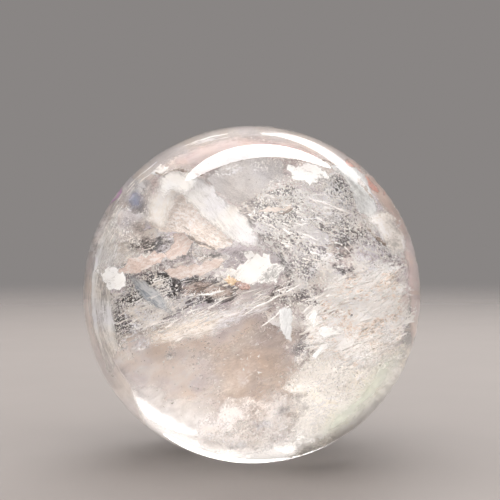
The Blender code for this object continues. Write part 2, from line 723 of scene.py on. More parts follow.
cloudy = partial(
    Look, drawn=1.8, scale=0.16, contrast=1.5, deep=0.4, glint=1, lace=0.3, dashes=0.35, dash=3,
    cover=0.56, fade=8, soft=0.15,
)

# How far the darkest and the brightest flakes lie from a veil's middle value
SPREAD = 0.14
# Where the drift of tint over a veil is warmest and coolest, as values of its noise
WARMEST, COOLEST = 0.36, 0.62
# The values of a veil between which its roughness runs
ROUGH_FROM, ROUGH_TO = 0.3, 0.7
# How strong and how high the steps of a fracture face are
STEP_STRENGTH, STEP_HEIGHT = 0.4, 0.4 * MM


def veiled_colour(tree, look, colours):
    """A flaw's colour and its light-and-dark value: deep, own tone and glint by turns."""
    tone = Vector(getattr(colours, look.tone))
    turn = (0.0, 0.0, math.radians(look.turn))
    place = disc_place(tree)
    veil = grouped(
        tree, veiling_group(), place, Scale=look.scale, Contrast=look.contrast, Grain=look.grain,
        Lace=look.lace, Lift=look.lift, Dashes=look.dashes, Dash_Stretch=(look.dash, 1.0, 1.0),
        Stretch=(look.drawn, 1.0, 1.0), Turn=turn,
    ).outputs[0]
    bright = tone.lerp(Vector((1, 1, 1)), look.glint)
    low, high = NOISE_MEAN - SPREAD, NOISE_MEAN + SPREAD
    base = shades(tree, veil, (low, tone * look.deep), (NOISE_MEAN, tone), (high, bright))
    hue = fractal(tree, place, scale=0.09, detail=2.0, roughness=0.5, distortion=0.5)
    tint = shades(tree, hue, (WARMEST, colours.warmer), (NOISE_MEAN, (1, 1, 1)), (COOLEST, colours.cooler))
    base = mixed(tree, look.tint, base, tint, "MULTIPLY")
    if look.cracks:
        lines = grouped(
            tree, lacing_group(), place, Scale=0.22, Width=0.012, Stretch=(2.5, 1.0, 1.0), Turn=turn
        ).outputs[0]
        base = mixed(tree, product(tree, lines, look.cracks), base, colours.umber)
    return base, veil


def feather_material(name, look, colours):
    """A fracture face: its own grain and fine steps in relief."""
    material, tree, surface = new_material(name)
    base, veil = veiled_colour(tree, look, colours)
    rough = between(tree, veil, ROUGH_FROM, ROUGH_TO, first=0.5, last=0.35)
    relief = {"Strength": STEP_STRENGTH, "Distance": STEP_HEIGHT, "Height": veil}
    bump = new_node(tree, "ShaderNodeBump", relief)
    feed(tree, surface, {"Base Color": base, "Roughness": rough, "Normal": bump.outputs["Normal"]})
    return material


def haze_material(name, look, colours):
    """A hazy sheet of minute flakes: towards its edge, and in its gaps, only the bright ones stay."""
    material, tree, surface = new_material(name)
    base, veil = veiled_colour(tree, look, colours)
    rough = between(tree, veil, ROUGH_FROM, ROUGH_TO, first=0.6, last=0.4)
    edge = new_node(tree, "ShaderNodeAttribute", attribute_name="edge").outputs["Fac"]
    reach = maths(tree, "MINIMUM", product(tree, edge, 1 / look.fade), look.cover)
    level = maths(tree, "ADD", reach, veil)
    shown = between(tree, level, 1.0 - look.soft, 1.0 + look.soft, last=look.strength)
    feed(tree, surface, {"Base Color": base, "Roughness": rough, "Alpha": shown})
    return material


# Bright fracture faces, each with its outline on the disc in millimetres
FEATHERS = (
    (Flaw("corner_flake", -26, -8, -14, (
        (-30.5, 36), (-27.5, 38.9), (-24.8, 38.2), (-25.3, 36.6), (-27.5, 35.6),
    ), ragged=0.4, spacing=0.8, seed=10), Look("white", deep=0.8, grain=0.2)),
    (Flaw("gold_spot", -22, -5, -10, (
        (-8.6, 4.4), (-7, 5.2), (-4.6, 4.4), (-3.4, 3.2), (-4.6, 2.2), (-6.6, 2.6), (-8, 3.2),
    ), ragged=0.9, spacing=0.5, seed=15), Look("gold", deep=0.5, grain=0.8, glint=0.8)),
    (Flaw("rose_spot", -23, -5, -10, (
        (-5.2, 3), (-3.4, 3.6), (-1, 3), (-0.4, 1.8), (-2.2, 1.4), (-4.4, 1.9),
    ), ragged=0.8, spacing=0.5, seed=16), Look("pink", deep=0.4, grain=0.8, glint=0.5)),
    (Flaw("ridge_needle", -22, 0, -22, ribbon(
        0.45, (2.8, -9.7), (5.6, -7.8), (8.2, -5.6), (11, -3.7),
    ), ragged=0.2, spacing=0.4, seed=17), needle("white")),
    (Flaw("ridge_needle_upper", -22, 0, -22, ribbon(
        0.55, (-2.6, -6.4), (1.4, -3.8), (4.4, -2.6), (8.4, -0.2),
    ), ragged=0.25, spacing=0.4, seed=11), needle("white")),
    (Flaw("ridge_needle_left", -22, 0, -22, ribbon(
        0.6, (-18.6, -0.6), (-13, -0.2), (-8, 1),
    ), ragged=0.3, spacing=0.4, seed=12), needle("white")),
    (Flaw("pale_streak", -24, 5, -15, ribbon(
        0.7, (17.4, 28.2), (21.5, 26.8), (25.5, 25.2), (29.4, 23.6),
    ), ragged=0.2, spacing=0.4, seed=18), Look("ivory", deep=0.8, grain=0.3)),
)

# Dark cracks, all of one look
CRACK_LOOK = Look("umber", deep=0.5, grain=0.8)
CRACKS = (
    Flaw("hook_crack", -24, -8, 0, ribbon(
        0.9, (-20.6, 20), (-18.6, 19), (-18.4, 16.8), (-16.2, 15.2), (-13.4, 14.6), (-11, 13.2),
    ), ragged=0.4, spacing=0.5, seed=61),
    Flaw("wisp_crack", -24, 0, 0, ribbon(
        0.4, (6.4, 24), (9.2, 23.7), (11.6, 25), (12.8, 26),
    ), ragged=0.3, spacing=0.4, seed=62),
    Flaw("rim_crack", -24, 10, 0, ribbon(
        0.8, (20.6, 40.4), (26.4, 38.7), (30.6, 35.6), (33, 33), (35.2, 29.8), (37.6, 26.6),
    ), ragged=0.6, spacing=0.5, seed=63),
    Flaw("right_crack", -24, 10, 0, ribbon(
        0.8, (33, 22), (35, 18.6), (37.4, 16.4), (39.6, 14.4),
    ), spacing=0.5, seed=64),
    Flaw("facet_crack", -26, -8, 0, ribbon(
        0.7, (-29, 36.4), (-26.4, 35.6), (-22.6, 37.2), (-18.4, 36), (-14.6, 35.2),
    ), ragged=0.4, spacing=0.5, seed=65),
)


def feather_piece(flaw, material, thickness):
    """A flaw as a thin wall with its sheet in the middle."""
    piece = placed(flaw.name, flaw_mesh(flaw), [material])
    wall = piece.modifiers.new("wall", "SOLIDIFY")
    wall.thickness = thickness
    wall.offset = 0


class QUARTZ_OT_feathers(bpy.types.Operator):
    """Builds the bright fracture faces and the dark cracks"""

    bl_idname = "quartz.feathers"
    bl_label = "Feathers"

    def execute(self, context):
        colours = context.scene.quartz_flaws
        for flaw, look in FEATHERS:
            feather_piece(flaw, feather_material(flaw.name, look, colours), colours.thickness)
        dark = feather_material("dark_crack", CRACK_LOOK, colours)
        for flaw in CRACKS:
            feather_piece(flaw, dark, colours.thickness)
        return {"FINISHED"}


# Soft veils, and some sheets of painted light, shade and reflection as marked, from the back of the stone
# to its front, with their outlines in millimetres
HAZES = (
    (Flaw("back_haze", 14, 6, -6, (
        (-47, -8), (-48, 6), (-44, 22), (-32, 37), (-12, 48), (12, 48), (32, 38), (45, 21), (49, 2),
        (47, -16), (37, -33), (24, -36), (4, -24), (-14, -14), (-30, -16),
    ), seed=34, ruffle=1, spacing=2), Look("lilac", scale=0.1, fade=4, grain=0.7)),
    (Flaw("upper_left_haze", -4, -10, -4, (
        (-47, 18), (-43, 29), (-36, 36), (-27, 38), (-26, 28), (-27, 18), (-36, 15),
    ), seed=41, ruffle=1.5), Look("mist", turn=60, deep=0.5, lift=-0.03, grain=0.4)),
    (Flaw("left_milk", -8, -10, -6, (
        (-49, 24), (-37, 28), (-28, 24), (-29, 14), (-40, 12), (-49, 12),
    ), seed=54, ruffle=1.5), Look("mist", turn=10, deep=0.5, lift=0.02)),
    # Its milky grey is the stone's own; its deepest darks are painted shade for the dim surroundings seen
    # through clear gaps
    (Flaw("left_mid_haze", -6, -8, -4, (
        (-49, 18), (-38, 22), (-27, 22), (-20, 18), (-16, 16), (-8, 16), (-2, 12), (-8, 5), (-24, 7),
        (-34, 5), (-48, 4),
    ), seed=55, ruffle=1.5),
     Look("mist", turn=20, deep=0.12, lace=0.15, dashes=0.45, dash=4, contrast=1.8, lift=-0.04, scale=0.17,
          glint=1, grain=0.5)),
    # Painted shade: a dark grey stretch for the dim surroundings seen through clear stone
    (Flaw("left_grey_haze", 2, -8, -4, (
        (-48, 5), (-40, 3), (-35, 9), (-26, 11), (-16, 9), (-8, 8), (2, 3), (-4, -6), (-16, -7), (-24, -11),
        (-32, -13), (-42, -19), (-48, -10),
    ), seed=42, ruffle=1.5),
     Look("painted_dark_gap", turn=18, drawn=2.5, deep=0.14, lace=0.04, dashes=0.6, dash=7, contrast=2, lift=-0.1,
          scale=0.16, glint=1, grain=0.4)),
    (Flaw("pane_haze", 2, 5, -4, (
        (-18, 34), (-10, 41), (1, 44), (13, 42), (13, 33), (4, 27), (-2, 23), (-8, 25), (-13, 29),
    ), seed=43), Look("pane", deep=0.75, grain=0.5, glint=0.5, turn=-35, lace=0.08, scale=0.12, tint=0.5)),
    # Painted shade: its dark grainy tone offsets the stronger light near the middle and top
    (Flaw("upper_grain", -8, 5, -2, (
        (-8, 27), (2, 33), (12, 38), (20, 30), (17, 18), (4, 13), (-5, 18),
    ), seed=44, ruffle=1),
     grainy("painted_shade_grey", turn=-15, deep=0.2, lace=0.25, dash=3, contrast=1.5, lift=-0.07, grain=0.65)),
    (Flaw("lilac_veil", -3, 12, -4, (
        (-3, 24), (12, 33), (28, 31), (44, 24), (49, 8), (38, -8), (20, -15), (4, -11), (-1, -1.8),
        (5, 6.6), (0, 14.7),
    ), seed=45, ruffle=2.5),
     grainy("lilac", turn=-22, drawn=1.4, deep=0.22, lace=0.45, dashes=0.4, dash=2.2, contrast=2,
            lift=-0.03, grain=0.6, scale=0.13)),
    # Partly painted shade: a purple-grey veil, given a darker tone to offset the stronger light near the
    # middle
    (Flaw("mid_grain", -7, 8, -2, (
        (-11, 14.7), (-2, 16.8), (4, 21), (15, 24), (24, 18), (24, 8), (16, 2), (12, -3), (11, 5), (8, 11),
        (0, 13.6), (-8, 13),
    ), seed=77, ruffle=1),
     grainy("heather_and_shade", turn=-25, drawn=1.3, deep=0.25, lace=0.45, dashes=0.4, dash=2.5, contrast=1.9,
            scale=0.18, grain=0.65, fade=3, soft=0.15)),
    # Painted shade: a dark stretch for the dim surroundings seen through clear stone
    (Flaw("right_dark", -8, 14, 0, (
        (17, 36), (26, 39.4), (32.4, 34.4), (36.4, 29), (29.4, 21), (19, 27),
    ), seed=46),
     grainy("painted_dark_gap", turn=-30, drawn=1.3, deep=0.1, dash=2, contrast=1.6, lift=-0.06, grain=0.95)),
    (Flaw("warm_cloud", -4, 14, -16, (
        (14, -2), (30, 12), (47, 13), (49, -1.8), (48, -14), (43, -25), (29, -27), (12, -17),
    ), seed=49, ruffle=2),
     grainy("warm", turn=24, drawn=1.8, deep=0.42, lift=0.09, dashes=0.6, dash=4, contrast=2.2, scale=0.18,
            tint=0.25, fade=9)),
    # Partly painted light: the cream is the veil's own, and its raised lift paints in the light that
    # gathers at the bottom
    (Flaw("low_cream", -12, 6, -38, (
        (9, -27), (15, -15), (32.4, -10), (46, -14), (43, -29), (30, -41), (14, -48.4), (8, -45), (14, -36),
    ), seed=50, ruffle=2),
     grainy("cream", turn=26, drawn=1.6, deep=0.8, lift=0.24, glint=0.6, lace=0.15, dashes=0.4, dash=3,
            contrast=1.6, scale=0.17, tint=0.12, fade=9, soft=0.35)),
    (Flaw("low_mottle", -10, 2, -14, (
        (-18, -36), (-8, -31), (2, -30), (10, -24), (18, -32), (18, -42), (8, -47), (-8, -47), (-18, -43),
    ), seed=57, ruffle=1),
     grainy("blush", turn=28, drawn=1.6, deep=0.3, lift=0.06, contrast=2.2, glint=0.5, dash=2.5, tint=0.5,
            cover=0.55, fade=8, soft=0.4)),
    (Flaw("low_blush", 8, 0, -10, (
        (-48.6, -8), (-30, -6), (-8, -2), (12, -2), (20, -16), (18, -34), (12, -48), (0, -49.4),
        (-14, -47.4), (-34, -36), (-44, -22.6),
    ), seed=56, ruffle=0.6), smooth("blush")),
    # Painted light: a soft white sheet where light from above gathers at the bottom of the stone
    (Flaw("low_glow", -2, 0, -36, (
        (-42, -25), (-30, -23), (-12, -29), (2, -36), (6, -48), (-6, -49), (-20, -45), (-34, -36),
    ), seed=78, ruffle=0.6), smooth("white", grain=0.2, glint=1, fade=13, soft=0.5, tint=0.15)),
    (Flaw("smoke", -2, 5, -4, (
        (-8, -8), (1.8, -2), (12, 2), (17, -7), (18, -19), (14, -28), (4, -38), (-8, -40), (-17, -30),
        (-22, -20), (-17, -12),
    ), seed=35, ruffle=0.6),
     smooth("smoke", lift=0.07, deep=0.76, grain=0.3, glint=0.5, dashes=0.12, dash=2, fade=18, soft=0.4,
            scale=0.08, turn=25)),
    (Flaw("ridge_band", -12, 0, -24, (
        (-36, -10), (-26, -6), (-18.4, -3.6), (-11, -2.6), (-3.5, -1.2), (3, 0.6), (13, 2), (9, -4),
        (1.4, -7.8), (-4, -9.8), (-9, -12.4), (-15.4, -14.8), (-22.8, -17), (-32, -16.4),
    ), seed=53, ragged=1),
     Look("ridge", turn=20, drawn=4, deep=0.84, lift=0.03, glint=1, grain=0.9, dashes=0.4, soft=0.4)),
    (Flaw("right_ice", -16, 18, -12, (
        (20.9, 39.2), (26, 39), (31.5, 38), (34.4, 35), (36.6, 29), (38, 24.4), (36.8, 21.8), (33.4, 22.4),
        (30.2, 24.6), (29.4, 29.4), (26.6, 34.2), (23.4, 36.6),
    ), seed=47),
     flake("frost", turn=-60, drawn=2.5, scale=0.15, deep=0.62, glint=0.7, fade=1.4, soft=0.25,
           strength=0.94, tint=0.2)),
    (Flaw("right_patch", -21, 16, -30, (
        (35, 24.6), (38.4, 26), (41, 25.6), (44.4, 21.8), (46.4, 17.4), (47, 12.6), (42.6, 10.4),
        (40, 10.6), (38, 14.4), (36, 19), (33.6, 21.4),
    ), seed=48),
     flake("moss", turn=-45, drawn=1.5, scale=0.18, glint=0.8, grain=0.7, lace=0.15, soft=0.35, tint=0.4)),
    (Flaw("blue_feather", -24, 14, -14, (
        (7.8, -4.8), (9, -3.6), (11.4, -3.8), (12.4, -5.6), (12.4, -8.6), (11.8, -11.6), (11.8, -14.4),
        (9.4, -13.6), (8.4, -10.4), (7.6, -7.6),
    ), seed=5, spacing=0.7, ragged=0.7), splinter("frost", turn=80, deep=0.8, strength=0.88, tint=0.2)),
    (Flaw("lens_flake", -24, 5, -22, (
        (20, -9.6), (23, -9.4), (27, -10), (31.2, -10.4), (28.2, -12), (24, -13.2), (20.6, -13.4),
        (18.6, -11.6),
    ), seed=11, spacing=0.6, ragged=0.9),
     splinter("ice", turn=18, drawn=4, deep=0.5, contrast=2, grain=1, lace=0.3, dashes=0.2, fade=1.4)),
    (Flaw("splinter_flake", -24, 5, -22, (
        (15.4, -5.2), (17.6, -4.4), (19.4, -5.2), (19.6, -8.2), (20.2, -10.6), (17.4, -10.2), (16, -8),
    ), seed=13, spacing=0.6, ragged=1.2),
     splinter("white", turn=60, drawn=4, contrast=1.8, grain=1, fade=1.3, soft=0.35)),
    (Flaw("low_splinter", -24, 5, -22, (
        (17.4, -18.8), (19.2, -15.4), (22, -14), (24.4, -13.8), (22, -16.2), (19, -19.4),
    ), seed=14, spacing=0.6, ragged=0.8), splinter("white", turn=45, drawn=5, contrast=1.8, strength=1)),
    (Flaw("upper_wisp", -22, 0, -6, ribbon(
        2.2, (-0.6, 24.4), (3.4, 24.8), (7, 24.8), (10.4, 25.6), (13.4, 27),
    ), seed=19, spacing=0.5, ragged=0.9),
     splinter("petal", turn=8, deep=0.75, grain=0.6, fade=0.6, tint=0.2)),
    (Flaw("brown_pocket", -16, 0, 0, (
        (-23.2, 2.7), (-15.6, 5), (-8.1, 4.2), (-2.7, 0.6), (-6, -2.8), (-12, -2.2), (-17.1, -2.4),
        (-22, -1.6),
    ), seed=75, spacing=1),
     flake("leaf", turn=20, drawn=2.5, scale=0.25, deep=0.4, glint=0.4, grain=0.9, lace=0.15, dashes=0.4,
           lift=-0.02, strength=0.95, tint=0.2)),
    (Flaw("blue_streak", -21, -5, 0, ribbon(
        6.4, (-37, 5.6), (-33.6, 2.6), (-30, -0.6), (-26.6, -3.6), (-22.6, -6.2),
    ), seed=66, spacing=0.8),
     flake("steel", turn=-42, drawn=5, glint=0.5, grain=0.9, lace=0.2, lift=0.06, fade=2.4, soft=0.35,
           tint=0)),
    (Flaw("central_flake", -20, 8, -6, (
        (-8.4, 6.8), (-3.7, 9), (-2.3, 12), (0.4, 12.4), (3.4, 12), (6.8, 9.6), (11.5, 8.3), (10.5, 6.2),
        (7.1, 4.5), (5.8, 2.5), (3.4, 1.5), (0, 2.1), (-3.3, 3.9), (-6.2, 4.6),
    ), ragged=2.2, spacing=0.8, seed=1), chip("ice", contrast=2, lift=0.06, glint=0.6, dashes=0.2)),
    (Flaw("left_flake", -26, -10, -30, (
        (-47.2, 7.4), (-44.6, 6.6), (-42.5, 8.3), (-39.7, 7.6), (-36, 4.5), (-37.7, 2.5), (-40.8, 0.4),
        (-42.8, 1.1), (-44.5, 3.5),
    ), ragged=1.3, spacing=0.8, seed=2), chip("white", lift=0.07, lace=0.2, tint=0.15)),
    (Flaw("right_flake", -22, 12, -38, (
        (10.2, 37.5), (14.3, 38.6), (18.4, 38.6), (21.1, 37.2), (23.1, 35.8), (23.1, 34.5), (20.4, 33.8),
        (18.4, 31.7), (15, 32.8), (12.2, 34.5),
    ), ragged=1.3, spacing=0.8, seed=3), chip("ice", turn=-10)),
    # Painted reflection: the pink of skin below the stone, seen bent through its top
    (Flaw("painted_skin_arc", -26, 0, -6, ring(39.5, 49, 50, 134), seed=36, around=True, ruffle=0.5, spacing=1.2),
     arc("pink", deep=0.6, grain=0.5, glint=0.3, fade=5, drawn=4, strength=0.7, lace=0.1)),
    (Flaw("coral_arc", -8, 0, 0, ring(46.4, 49.2, 36, 57), seed=37, around=True, ruffle=0.2, spacing=0.9),
     arc("coral", deep=0.8, fade=1, soft=0.3, grain=0.55, lace=0.1)),
    (Flaw("rose_arc", 1, 0, 0, ring(45.6, 49.9, -24, 66), seed=38, around=True, ruffle=1.2, spacing=1),
     arc("rose", deep=0.8, grain=0.2, fade=2.4, drawn=4, strength=0.8)),
    (Flaw("green_arc", -20, 0, -20, ring(41, 49.4, -70, -14), seed=39, around=True, spacing=1.2),
     arc("green", deep=0.92, grain=0.1, fade=5, strength=0.42, soft=0.5, tint=0)),
    # Painted light: a bright band at the lower rim, where light from above shows bent through the bottom
    (Flaw("low_rim_painted_light", 0, 0, -34, ring(46.2, 49.9, -84, -12, 20), seed=79, around=True, ruffle=0.6,
          spacing=1),
     arc("cream", drawn=8, deep=0.9, glint=0.6, fade=2, soft=0.5, strength=0.95, tint=0.3)),
    (Flaw("left_arc", -20, 0, 0, ring(40.5, 49.2, 142, 216), seed=40, around=True, ruffle=0.8, spacing=1.2),
     arc("ice", drawn=8, deep=0.25, contrast=1.8, fade=3, cover=0.52, dashes=0.4, dash=9, soft=0.15,
         glint=0.75, lace=0.1)),
    (Flaw("rim_veil", 1, 0, 0, ring(44.5, 49.9, 46, 232, 24, 0.08), around=True, seed=70, ruffle=1.2,
          ragged=0.1, spacing=1),
     arc("blush", drawn=10, deep=0.7, grain=0.15, glint=0.5, fade=1.6, soft=0.5, strength=0.7)),
    (Flaw("rim_streaks", -16, 0, 0, ring(46, 49.2, 60, 212), around=True, seed=69, ruffle=0.1, ragged=0.2,
          spacing=1.2),
     arc("white", drawn=14, deep=0.6, cover=0.46, dashes=0.3, dash=16, fade=1.2, soft=0.2, glint=0.75)),
    (Flaw("violet_edge", -3, 0, -20, ring(48.8, 49.9, 140, 148), seed=67, around=True, ruffle=0.2,
          spacing=0.8),
     arc("violet", deep=0.7, fade=0.8, strength=0.6, glint=0.3, tint=0, grain=0.55, lace=0.1)),
    (Flaw("azure_spot", -23, -5, 0, (
        (-38.4, 27.8), (-37, 31), (-34, 31.6), (-31.6, 28.8), (-32.6, 25), (-36, 24.4),
    ), seed=68, spacing=0.6, ragged=0.2),
     Look("azure", deep=0.7, grain=0.2, glint=0.3, lace=0, fade=3, soft=0.6, tint=0)),
    (Flaw("left_lace", -19, -8, -8, (
        (-47, 2), (-45, 20), (-34, 32), (-24, 18), (-6, 14), (0, 8), (-2, -6), (-20, -14), (-38, -22),
        (-47, -12),
    ), seed=71, ruffle=2), lacy("white", turn=20, drawn=2.5, cover=0.33)),
    (Flaw("right_lace", -18, 8, -8, (
        (6, 22), (10, 34), (24, 36), (40, 28), (48, 10), (48, -10), (42, -24), (24, -22), (14, -12),
        (14, 0), (16, 10),
    ), seed=72, ruffle=2), lacy("white", turn=-18)),
    (Flaw("low_lace", -19, 4, -16, (
        (14, -4), (22, -8), (47, -10), (46, -22), (32, -38), (8, -48), (-12, -47), (-20, -38), (-4, -34),
        (8, -30),
    ), seed=73, ruffle=2), lacy("cream", turn=26, drawn=2.5, deep=0.7, soft=0.12, lace=0.25)),
    (Flaw("top_lace", -20, 4, -8, (
        (-34, 34), (-24, 42), (0, 47), (24, 42), (35, 33), (16, 30), (0, 34), (-18, 32),
    ), seed=74, ruffle=1), lacy("white", turn=0, cover=0.38, lace=0.2)),
    (Flaw("petal", -20, -10, -14, (
        (-26.6, 30.6), (-22.5, 32), (-19.3, 30.6), (-15.8, 28.2), (-12.3, 25.4), (-9.6, 22.6), (-6.2, 18.9),
        (-4.4, 16), (-6.4, 13.6), (-10.6, 12.4), (-15.6, 13.4), (-17.6, 15.6), (-20.3, 17.9), (-23.7, 17.6),
        (-27.4, 18), (-31, 19.2), (-31.2, 24.3), (-30, 29.4),
    ), ragged=0.6, spacing=1, ruffle=0.8, seed=26),
     facet("petal", turn=-20, deep=0.72, grain=0.9, glint=0.7, lace=0.35, dashes=0.25, fade=0.9, soft=0.25,
           strength=0.93, tint=0.3, cracks=0.6)),
    (Flaw("petal_side", -20.6, -10, -14, (
        (-28.2, 33), (-25.4, 36.2), (-21, 33.6), (-20, 30.4), (-22.8, 26.6), (-23.8, 22.4), (-24.4, 17.6),
        (-29.6, 18.2), (-32.4, 22.6), (-32, 28), (-30.4, 31.4),
    ), spacing=0.8, ruffle=0.8, seed=6),
     facet("ivory", turn=80, deep=0.85, grain=0.6, glint=0.9, lace=0.15, fade=3.6, strength=0.8, tint=0.2,
           scale=0.13, contrast=1)),
    (Flaw("branch_leaf", -19, 6, -8, (
        (-23.7, 18.3), (-21.3, 18.9), (-18, 17.6), (-17.2, 15.2), (-18.2, 13.4), (-18.7, 11.3),
        (-21.3, 10.3), (-25.2, 10.2), (-26, 12.3), (-23.7, 14.7),
    ), ragged=1.2, spacing=0.8, seed=7), leaf("peach", turn=30, lace=0.2, dashes=0.2)),
    (Flaw("left_leaf", -23, 5, -8, (
        (-40.7, 6.6), (-38.3, 9.4), (-34.9, 11.6), (-30.5, 12.4), (-26.6, 13), (-23.6, 12), (-25.5, 9.9),
        (-29.5, 7.6), (-33.9, 5.9), (-37.7, 5.4),
    ), ragged=1.2, spacing=0.8, seed=8), leaf("peach", grain=0.9, lace=0.15, dashes=0.3, strength=0.92)),
    (Flaw("right_leaf", -23, -5, -8, (
        (-26.4, 7.4), (-21.4, 8.5), (-15.3, 9.6), (-8.6, 11.6), (-7.6, 10.4), (-9.6, 7.5), (-13.9, 5.2),
        (-18.3, 3.9), (-22.7, 4.3), (-25.4, 5.8),
    ), ragged=1, spacing=0.8, seed=9), leaf("leaf", deep=0.8, grain=0.6, glint=0.5, strength=0.95)),
    (Flaw("ice_band", -23, -12, -8, (
        (-27.6, 31), (-28.2, 34), (-25.6, 37.2), (-20.5, 36.4), (-15, 35.8), (-12, 33), (-8.8, 29.8),
        (-4, 25.6), (-0.4, 21.2), (2, 17.6), (2.4, 14.6), (-0.8, 13.4), (-4.6, 14.6), (-9.2, 17.2),
        (-12.5, 20), (-16.2, 23.8), (-20.2, 28), (-23.4, 30),
    ), ragged=0.9, spacing=1, seed=4),
     facet("ice", turn=-50, drawn=3.5, scale=0.16, glint=0.8, lace=0.2, fade=1.7, soft=0.45, strength=0.84,
           tint=0.75)),
    (Flaw("ice_corner", -27, -12, -12, (
        (-28.2, 30.6), (-28, 34.4), (-25.4, 37), (-20.5, 37), (-16.6, 36), (-15.4, 34), (-17.4, 31.2),
        (-18.6, 29.4), (-20.6, 29.6), (-23.6, 30.6), (-26.2, 28.4),
    ), ragged=0.9, spacing=0.9, seed=20),
     facet("white", turn=-40, drawn=3, contrast=1.8, lace=0.25, lift=0.06, fade=2.2, strength=0.9,
           tint=0.5)),
)


# The outline of the right side's cloud, which the left side's mirrors
SIDE_CLOUD = (
    (22, -30), (26, -14), (22, 4), (25, 20), (20, 34), (30, 32), (40, 20), (45, 2), (40, -18), (30, -32),
)

# Veils and flakes in the rear half, drawn as they show on the stone's disc from behind or beside it
REAR_HAZES = (
    (Flaw("rear_cloud", -26, 8, -14, (
        (-47, -12), (-46, 10), (-36, 28), (-16, 40), (8, 42), (28, 34), (42, 18), (44, 4), (27, 4),
        (22, 15), (10, 25), (-8, 26), (-22, 16), (-28, 2), (-27, -12), (-29, -26), (-38, -24),
    ), side=180, seed=120, ruffle=3, spacing=2), cloudy("pane", turn=20, drawn=1.6, fade=7, soft=0.12)),
    (Flaw("rear_warm", -25, -10, -18, (
        (26, 8), (44, 6), (47, -8), (40, -26), (26, -40), (8, -46), (4, -36), (20, -22), (25, -6),
    ), side=180, seed=121, ruffle=3, spacing=2),
     cloudy("warm", turn=-24, drawn=2, scale=0.14, deep=0.5, lace=0.25, contrast=1.4, cover=0.58, fade=6,
            dash=5)),
    (Flaw("rear_band", -32, 10, -12, ribbon(
        7, (-40, 12), (-34, 8), (-28, 1), (-25, -8), (-24, -16),
    ), side=180, seed=123, ruffle=2, ragged=1.4, spacing=1),
     flake("ice", turn=-50, drawn=3, contrast=1.4, glint=1, grain=0.7, lace=0.3, tint=0.3)),
    (Flaw("rear_flake", -34, -6, -26, (
        (20, 24), (24, 29), (29, 28), (32, 31), (36, 25), (33, 20), (28, 18), (24, 19),
    ), side=180, seed=124, ragged=1.8, spacing=0.8),
     flake("white", turn=30, deep=0.5, contrast=1.5, grain=0.6, lace=0.2, fade=1.5, tint=0.15, strength=1)),
    (Flaw("rear_chip", -30, 8, -22, (
        (-36, -16), (-31, -14), (-27, -17), (-29, -22), (-34, -22),
    ), side=180, seed=125, ragged=1.4, spacing=0.8),
     flake("white", turn=30, deep=0.6, contrast=1.4, grain=0.6, fade=1.5, tint=0.15, strength=1)),
    (Flaw("left_side_cloud", -26, -10, -14, tuple((-across, up) for across, up in SIDE_CLOUD),
          side=-90, seed=128, ruffle=3, spacing=2), cloudy("pane", turn=-30)),
    (Flaw("right_side_cloud", -26, 10, -14, SIDE_CLOUD, side=90, seed=130, ruffle=3, spacing=2),
     cloudy("warm", turn=30, deep=0.45)),
)

# Painted shade: dark sheets between the veils, for the dim surroundings seen through clear stone and to
# darken where the light falls strongest, all of one depth and one look
PAINTED_DARK_DEPTH, FIRST_PAINTED_DARK_SEED = -13, 80
PAINTED_DARK_LOOK = Look(
    "painted_dark_gap", turn=10, drawn=1.2, scale=0.22, contrast=1.5, deep=0.3, glint=1, grain=0.7, lace=0.25,
    lift=-0.04, fade=3, soft=0.35, strength=0.82,
)
# Each painted dark sheet's place across and up, its width and its height in millimetres, and its turn in
# degrees
PAINTED_DARK_SHEETS = (
    (-33, 31.4, 8, 7, 40), (-35.8, 14.8, 9.5, 6.5, 10), (-26.6, 15.8, 5.6, 7, 0), (-15.6, 12.2, 6.8, 4, -8),
    (-29.2, 4, 11, 5.6, -14), (-41, -4.6, 5.4, 11, 14), (-25.2, -2.6, 7, 5.4, -40), (-40, -14, 6, 8, 20),
    (8.8, 37.2, 4.4, 4.6, 0), (5.4, 27.2, 10, 4.2, 4), (24.4, 21.6, 8, 6.4, -30), (15.6, 9.6, 10.5, 6, -30),
    (13.4, -1.2, 12, 6.4, 10), (14, -16, 8, 9, -60), (9.8, -34, 8, 5.6, 30), (3.2, -38.2, 8.4, 5.4, 20),
    (-18, 3, 8, 4, 10), (31, 18.6, 6, 4.2, -40), (33.6, 31.6, 2.2, 6.6, 40), (-24.8, -18.6, 5, 8.4, -30),
)


def painted_dark_sheet_flaw(index, shape):
    """One painted dark sheet, square to the view."""
    return Flaw(
        f"pocket_{index:02d}", PAINTED_DARK_DEPTH, 0, 0, oval(*shape), seed=FIRST_PAINTED_DARK_SEED + index,
        ragged=1.6, spacing=0.9,
    )


class QUARTZ_OT_hazes(bpy.types.Operator):
    """Builds the veils, the soft flakes, the tints along the rim, the painted light and the painted dark
    sheets
    """

    bl_idname = "quartz.hazes"
    bl_label = "Hazes"

    def execute(self, context):
        colours = context.scene.quartz_flaws
        for flaw, look in HAZES + REAR_HAZES:
            placed(flaw.name, flaw_mesh(flaw), [haze_material(flaw.name, look, colours)])
        dark = haze_material("pocket", PAINTED_DARK_LOOK, colours)
        for index, shape in enumerate(PAINTED_DARK_SHEETS):
            flaw = painted_dark_sheet_flaw(index, shape)
            placed(flaw.name, flaw_mesh(flaw), [dark])
        return {"FINISHED"}


class Scatter(NamedTuple):
    """How glints are strewn over a zone: how many, how large, and how they lie.

    The depth, width and fade are millimetres, the length is widths, and the turn and sway are
    degrees. The cover is the value of the cloud noise, of so many waves a metre, where they begin.
    """

    per_square_mm: float = 9.0
    depth: float = 3.0
    width: float = 0.42
    length: float = 1.4
    turn: float = 0.0
    sway: float = 180.0
    cover: float = 0.5
    scale: float = 60.0
    fade: float = 3.0
    finish: str = "bright"


